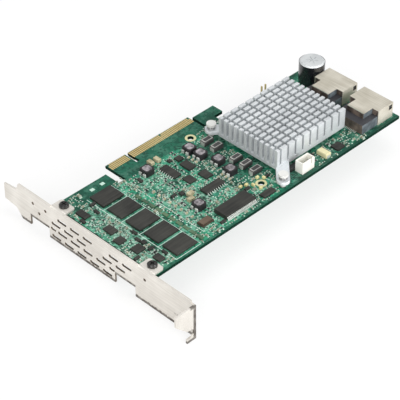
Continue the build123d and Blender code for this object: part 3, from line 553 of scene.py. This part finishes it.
def middle(low, high):
    """The middle of a footprint."""
    return (low[0] + high[0]) / 2, (low[1] + high[1]) / 2


def port_details():
    """A dark latch in both sides of each port, and a bright line along its shell's rear edge that is a
    painted highlight.
    """
    latches, highlights = bmesh.new(), bmesh.new()
    for i in (1, 2):
        low, high = card_box(f"sas_port_shell_{i}")
        for y in (low[1] + LATCH_FROM_SIDE, high[1] - LATCH_FROM_SIDE):
            add_box(latches, high[0] - LATCH_FROM_MOUTH, y, LATCH_HEIGHT, *LATCH, 0.1)
        # A painted highlight along the top of the shell's rear edge
        add_box(highlights, low[0] + SHELL_HIGHLIGHT[0] / 2, middle(low, high)[1], high[2] - SHELL_HIGHLIGHT[2], *SHELL_HIGHLIGHT)
    piece("port_latches", latches, "port_black", MATERIALS["jumper_black"])
    piece("shell_edge_highlights", highlights, "port_shell_metal", print_and_highlight)


def capacitor_rims():
    """A thin rim on each moulded capacitor's top, wider at its marked end, and a terminal there."""
    rims = bmesh.new()
    for low, high in islands("polymer_capacitors"):
        x, y = middle(low, high)
        length, width = (high[k] - low[k] - 2 * RIM_INSET for k in (0, 1))
        for side, rim in ((-1, MARKED_RIM_WIDTH), (1, RIM_WIDTH)):
            long_y, short_x = y + side * (width - RIM_WIDTH) / 2, x + side * (length - RIM_WIDTH) / 2
            add_box(rims, x, long_y, high[2], length, RIM_WIDTH, MARK_THICKNESS)
            add_box(rims, short_x, y, high[2], rim, width - 2 * RIM_WIDTH, MARK_THICKNESS)
        add_box(rims, low[0] + 0.05, y, TERMINAL_HEIGHT, *TERMINAL, 0.05)
    piece("capacitor_rims", rims, "polymer_grey", silver_rim)


def inductor_ends():
    """The two ends of each inductor's winding."""
    coil_ends = bmesh.new()
    for low, high in islands("power_inductors"):
        for y in (low[1] + COIL_END_INSET, high[1] - COIL_END_INSET):
            add_box(coil_ends, low[0], y, 0.0, *COIL_END, 0.2)
    piece("inductor_ends", coil_ends, "lead_tin")


def header_shade_block():
    """A low black block behind the cable header, which stands for painted shade between the header and the
    heatsink. Returns its place.
    """
    low, high = card_box("cable_header")
    place = (middle(low, high)[0] + SHADE_BLOCK_SHIFT, high[1] + SHADE_BLOCK_BEHIND)
    block = bmesh.new()
    add_box(block, *place, 0.0, *SHADE_BLOCK, 0.25)
    piece("header_shade_block", block, "jumper_black")
    return place


port_details()
capacitor_rims()
inductor_ends()
shade_block_place = header_shade_block()


# Footprints that stay clear

PART_GAP = 0.15
COIL_END_ROOM = 0.6
LOWEST_TOP = 0.02
HIGHEST_FOOT = 1.5
EAR_ROOM = ((0.0, 0.0, 7.2, 10.0), (0.0, 55.0, 7.2, 64.2))
KEEP_CLEAR = list(EAR_ROOM)
for name in frame["nodes"]:
    if name in ("circuit_board", "edge_contacts", "heatsink", "io_bracket", "solder_joints"):
        continue
    for low, high in islands(name):
        if high[2] > LOWEST_TOP and low[2] < HIGHEST_FOOT:
            KEEP_CLEAR.append((low[0], low[1], high[0], high[1]))
for low, high in islands("power_inductors"):
    KEEP_CLEAR.append((low[0] - COIL_END_ROOM, low[1], low[0], high[1]))


def is_free(x, y, length, width):
    """Whether a footprint is clear of all that stands on the board."""
    low_x, high_x = x - length / 2 - PART_GAP, x + length / 2 + PART_GAP
    low_y, high_y = y - width / 2 - PART_GAP, y + width / 2 + PART_GAP
    return all(
        high_x < a or low_x > c or high_y < b or low_y > d
        for a, b, c, d in KEEP_CLEAR
    )


def claim(x, y, length, width):
    """Keep a footprint clear from now on."""
    KEEP_CLEAR.append((x - length / 2, y - width / 2, x + length / 2, y + width / 2))


claim(*shade_block_place, *SHADE_BLOCK[:2])


# Fine parts in zones: left, near, right, far, tries, shares of each kind

ZONES = (
    (2.6, 1.6, 14.2, 62.5, 640, (0.30, 0.32, 0.27, 0.11)),
    (29.6, 1.6, 36.0, 57.0, 330, (0.45, 0.25, 0.02, 0.28)),
    (36.6, 1.6, 50.0, 54.5, 640, (0.36, 0.34, 0.08, 0.22)),
    (50.0, 1.2, 72.0, 53.5, 760, (0.36, 0.34, 0.10, 0.20)),
    (72.0, 1.2, 85.0, 20.0, 160, (0.30, 0.40, 0.05, 0.25)),
    (76.0, 50.0, 87.0, 57.0, 120, (0.40, 0.40, 0.0, 0.20)),
    (104.0, 1.2, 131.0, 10.0, 240, (0.34, 0.36, 0.1, 0.20)),
    (131.6, 1.2, 139.0, 45.0, 260, (0.34, 0.36, 0.1, 0.20)),
    (86.0, 48.0, 143.0, 57.0, 260, (0.34, 0.36, 0.1, 0.20)),
    (76.4, 33.4, 84.4, 38.6, 150, (0.40, 0.10, 0.0, 0.50)),
)
KINDS = ("capacitor", "resistor", "transistor", "test point")
GRID = 0.25
SIZES = ((1.0, 0.5, 0.5), (1.6, 0.8, 0.75), (2.0, 1.25, 0.9))
SIZE_SHARES = (0.6, 0.32, 0.08)
FOOT_ROOM = (0.5, 0.1)
RESISTOR_SHARE = 0.5
BODY_SHARE = 0.94
END_SHARE = 0.2
PAD_HEIGHT = 0.04
PAD_OUT = 0.12
PAD_SHARE = 1.15
TRANSISTOR = (2.9, 1.3, 0.95)
TRANSISTOR_FOOT = (2.9, 2.6)
LEG = (0.42, 0.7, 0.2)
LEG_PLACES = ((-0.95, -0.95), (0.95, -0.95), (0, 0.95))
POINT_RADIUS = 0.34
POINT_FOOT = (0.8, 0.8)
LOW_CHIPS = ((62.9, 48.9, 3.2), (58.6, 50.6, 1.8), (46.4, 30.4, 2.2), (12.2, 18.6, 2.2))
LOW_CHIP_HEIGHT = 0.9
YELLOW_PART = (1.6, 1.0, 1.2)
YELLOW_PLACES = (
    (67.6, 15.4, 0),
    (70.4, 14.6, 0),
    (72.6, 12.4, 90),
    (77.6, 14.8, 0),
    (79.6, 12.6, 90),
    (73.4, 8.6, 0),
)
caps, resistors, chips, ends, pads, legs, dots = [bmesh.new() for _ in range(7)]


def add_two_end(x, y, size, body, height, turn):
    """A small part between two tinned ends, on its pads."""
    length, width, _ = size
    end = length * END_SHARE
    add_box(body, x, y, PAD_HEIGHT, length - 2 * end, width * BODY_SHARE, height * BODY_SHARE, 0.04, turn)
    a = math.radians(turn)
    for side in (-1, 1):
        shift = side * (length - end) / 2
        place = (x + shift * math.cos(a), y + shift * math.sin(a))
        add_box(ends, *place, PAD_HEIGHT, end, width, height, 0.06, turn)
        out = side * (length / 2 + PAD_OUT)
        place = (x + out * math.cos(a), y + out * math.sin(a))
        add_box(pads, *place, 0.0, 0.5 + end * 0.2, width * PAD_SHARE, PAD_HEIGHT, 0.0, turn)


def add_transistor(x, y, turn):
    """A three-legged chip."""
    add_box(chips, x, y, 0.12, *TRANSISTOR, 0.12, turn)
    place = Matrix.Translation((x, y, 0)) @ Matrix.Rotation(math.radians(turn), 4, "Z")
    for a, b in LEG_PLACES:
        leg = place @ Vector((a, b, 0))
        add_box(legs, leg[0], leg[1], 0.0, *LEG, 0.05, turn)


def scatter(left, near, right, far, tries, shares):
    """Draw places and kinds of part in a zone, and build those that find a free footprint."""
    for _ in range(tries):
        x = round(rng.uniform(left, right) / GRID) * GRID
        y = round(rng.uniform(near, far) / GRID) * GRID
        turn = rng.choice((0, 90))
        kind = rng.choices(KINDS, shares)[0]
        if kind in ("capacitor", "resistor"):
            length, width, height = size = rng.choices(SIZES, SIZE_SHARES)[0]
            foot = (length + FOOT_ROOM[0], width + FOOT_ROOM[1])
        elif kind == "transistor":
            foot = TRANSISTOR_FOOT
        else:
            foot = POINT_FOOT
        foot = foot if turn == 0 else foot[::-1]
        if not is_free(x, y, *foot):
            continue
        if kind == "capacitor":
            add_two_end(x, y, size, caps, height, turn)
        elif kind == "resistor":
            add_two_end(x, y, size, resistors, height * RESISTOR_SHARE, turn)
        elif kind == "transistor":
            add_transistor(x, y, turn)
        else:
            add_disc(dots, x, y, 0.0, POINT_RADIUS, 0.03, 10)
        claim(x, y, *foot)


for x, y, side in LOW_CHIPS:
    add_box(chips, x, y, 0.05, side, side, LOW_CHIP_HEIGHT, 0.12)
    claim(x, y, side, side)
for zone in ZONES:
    scatter(*zone)
piece("fine_capacitors", caps, "ceramic_tan", fine_body)
piece("fine_resistors", resistors, "resistor_black")
piece("transistors", chips, "chip_black")
piece("fine_ends", ends, "lead_tin", fine_tin)
piece("transistor_legs", legs, "lead_tin")
piece("bare_pads", pads, "lead_tin", pad_tin)
piece("test_points", dots, "lead_tin", pad_tin)
yellow = bmesh.new()
for x, y, turn in YELLOW_PLACES:
    add_box(yellow, x, y, 0.0, *YELLOW_PART, 0.15, turn)
piece("yellow_parts", yellow, "tantalum_cream", pale_yellow)


# Printed lines on the board

CHIP_FRAMES = [(21.9, y, 14.4, 0.32) for y in (1.3, 12.55, 23.8, 35.1, 46.3)]
CHIP_FRAMES += [(x, 29.0, 0.28, 55.6) for x in (14.6, 28.9)]
SQUARES = [(x, 60.3, 2.1, 1.7) for x in (21.0, 27.0)]
SINGLE_LINES = [(35.3, 27.0, 0.25, 42.0), (57.0, 3.4, 19.5, 0.28)]
lines = bmesh.new()
for x, y, length, width in CHIP_FRAMES + SQUARES + SINGLE_LINES:
    add_box(lines, x, y, 0.0, length, width, MARK_THICKNESS)
piece("printed_lines", lines, "board_laminate", print_and_highlight)


# Marks on the chips

DOT_HEIGHT = 0.01
DOT_SIDES = 16
marks = bmesh.new()
for i in range(1, 6):
    low, high = card_box(f"memory_chip_{i}")
    add_disc(marks, low[0] + 1.2, high[1] - 1.2, high[2], 0.4, DOT_HEIGHT, DOT_SIDES)
low, high = card_box("flash_chip")
add_disc(marks, low[0] + 1.6, low[1] + 1.4, high[2], 0.5, DOT_HEIGHT, DOT_SIDES)
piece("chip_marks", marks, "chip_black")


# Springs on the push pins


def add_spring(bm, x, y, low, high, radius, wire, turns):
    """A wound wire between two heights."""
    steps, sides = 40 * turns, 8
    rings = []
    for i in range(steps + 1):
        a = 2 * math.pi * i * turns / steps
        z = low + wire + (high - low - 2 * wire) * i / steps
        out = Vector((math.cos(a), math.sin(a), 0))
        centre = Vector((x, y, z)) + out * radius
        ring = []
        for k in range(sides):
            b = 2 * math.pi * k / sides
            ring.append(at(*(centre + wire * (out * math.cos(b) + Vector((0, 0, math.sin(b)))))))
        rings.append(ring)
    ring_stack(bm, rings)


SPRING_WIRE = 0.18
wound = bmesh.new()
for low, high in islands("push_pin_springs"):
    x, y = middle(low, high)
    add_spring(wound, x, y, low[2], high[2], (high[0] - low[0]) / 2 - SPRING_WIRE, SPRING_WIRE, 3)
springs = piece("wound_springs", wound, "spring_steel", smooth=True)
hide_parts("push_pin_springs")


# Camera

VIEW_ANGLES = (-45.14, 39.21, -0.03)
CAMERA_PLACE = (-353.9, -379.1, 463.9)
LENS = 152.53

scene = bpy.context.scene
scene.view_settings.view_transform = "Standard"
azimuth, elevation, roll = (math.radians(v) for v in VIEW_ANGLES)
back = Vector((
    math.sin(azimuth) * math.cos(elevation),
    -math.cos(azimuth) * math.cos(elevation),
    math.sin(elevation),
))
right = Vector((math.cos(azimuth), math.sin(azimuth), 0))
up = back.cross(right)
turned = Matrix((right, up, back)).transposed().to_4x4() @ Matrix.Rotation(roll, 4, "Z")
camera = bpy.data.objects.new("camera", bpy.data.cameras.new("camera"))
camera.matrix_world = Matrix.Translation(at(*CAMERA_PLACE)) @ turned
camera.data.lens = LENS
camera.data.sensor_width = 36
camera.data.clip_end = 50
scene.collection.objects.link(camera)
scene.camera = camera


# Lamps, placed in the frame's metres, and world

WORLD_STRENGTH = 0.55


def lamp(name, place, size, power, colour=(1, 1, 1)):
    """A soft square lamp that looks at the middle of the frame."""
    data = bpy.data.lights.new(name, "AREA")
    data.shape = "SQUARE"
    data.size = size
    data.energy = power
    data.color = colour
    obj = bpy.data.objects.new(name, data)
    obj.location = place
    obj.rotation_euler = (-Vector(place)).to_track_quat("-Z", "Y").to_euler()
    scene.collection.objects.link(obj)


def add_world():
    """A world that is white to the camera and lights the scene less strongly."""
    world = bpy.data.worlds.new("studio")
    world.use_nodes = True
    scene.world = world
    tree = world.node_tree
    background = tree.nodes["Background"]
    background.inputs["Color"].default_value = (1, 1, 1, 1)
    path = tree.nodes.new("ShaderNodeLightPath")
    strength = tree.nodes.new("ShaderNodeMapRange")
    strength.inputs["To Min"].default_value = WORLD_STRENGTH
    strength.inputs["To Max"].default_value = 1.0
    tree.links.new(path.outputs["Is Camera Ray"], strength.inputs["Value"])
    tree.links.new(strength.outputs["Result"], background.inputs["Strength"])


lamp("lamp_left", (-0.9, -0.5, 0.6), 0.7, 6.5, (1, 0.99, 0.97))
lamp("lamp_front", (0.2, -1.0, 0.5), 0.7, 7.5)
lamp("lamp_top", (0.1, 0.1, 1.3), 0.9, 5.4)
add_world()


# Floor, in the frame's metres

FLOOR_REACH = 6.0
FLOOR_LEVEL = -0.0001
FLOOR_GLOW = 0.72


def floor_finish(name):
    """White that partly glows to the camera, so that its shadows stay light."""
    recipe = Recipe(name)
    recipe.set("Base Color", recipe.blend(recipe.noise(2.0), (0.9, 0.9, 0.9, 1), (0.93, 0.93, 0.93, 1)))
    recipe.set("Roughness", 0.9)
    recipe.set("Specular IOR Level", 0.1)
    rays = recipe.node("LightPath").outputs
    share = recipe.maths("ADD", rays["Is Camera Ray"], rays["Is Glossy Ray"])
    share = recipe.maths("ADD", share, rays["Is Transmission Ray"])
    share = recipe.times(recipe.maths("MINIMUM", share, 1.0), FLOOR_GLOW)
    glow = recipe.node("Emission", {"Color": (1, 1, 1, 1), "Strength": 1.0})
    mixed = recipe.node("MixShader", {0: share, 1: recipe.shader.outputs[0], 2: glow.outputs[0]})
    recipe.tree.links.new(mixed.outputs[0], recipe.tree.nodes["Material Output"].inputs["Surface"])
    return recipe.material


bm = bmesh.new()
corners = [(a * FLOOR_REACH, b * FLOOR_REACH, FLOOR_LEVEL) for a, b in ((-1, -1), (1, -1), (1, 1), (-1, 1))]
bm.faces.new([bm.verts.new(point) for point in corners])
mesh = bpy.data.meshes.new("floor")
bm.to_mesh(mesh)
bm.free()
mesh.materials.append(floor_finish("floor_white"))
floor = bpy.data.objects.new("floor", mesh)
scene.collection.objects.link(floor)
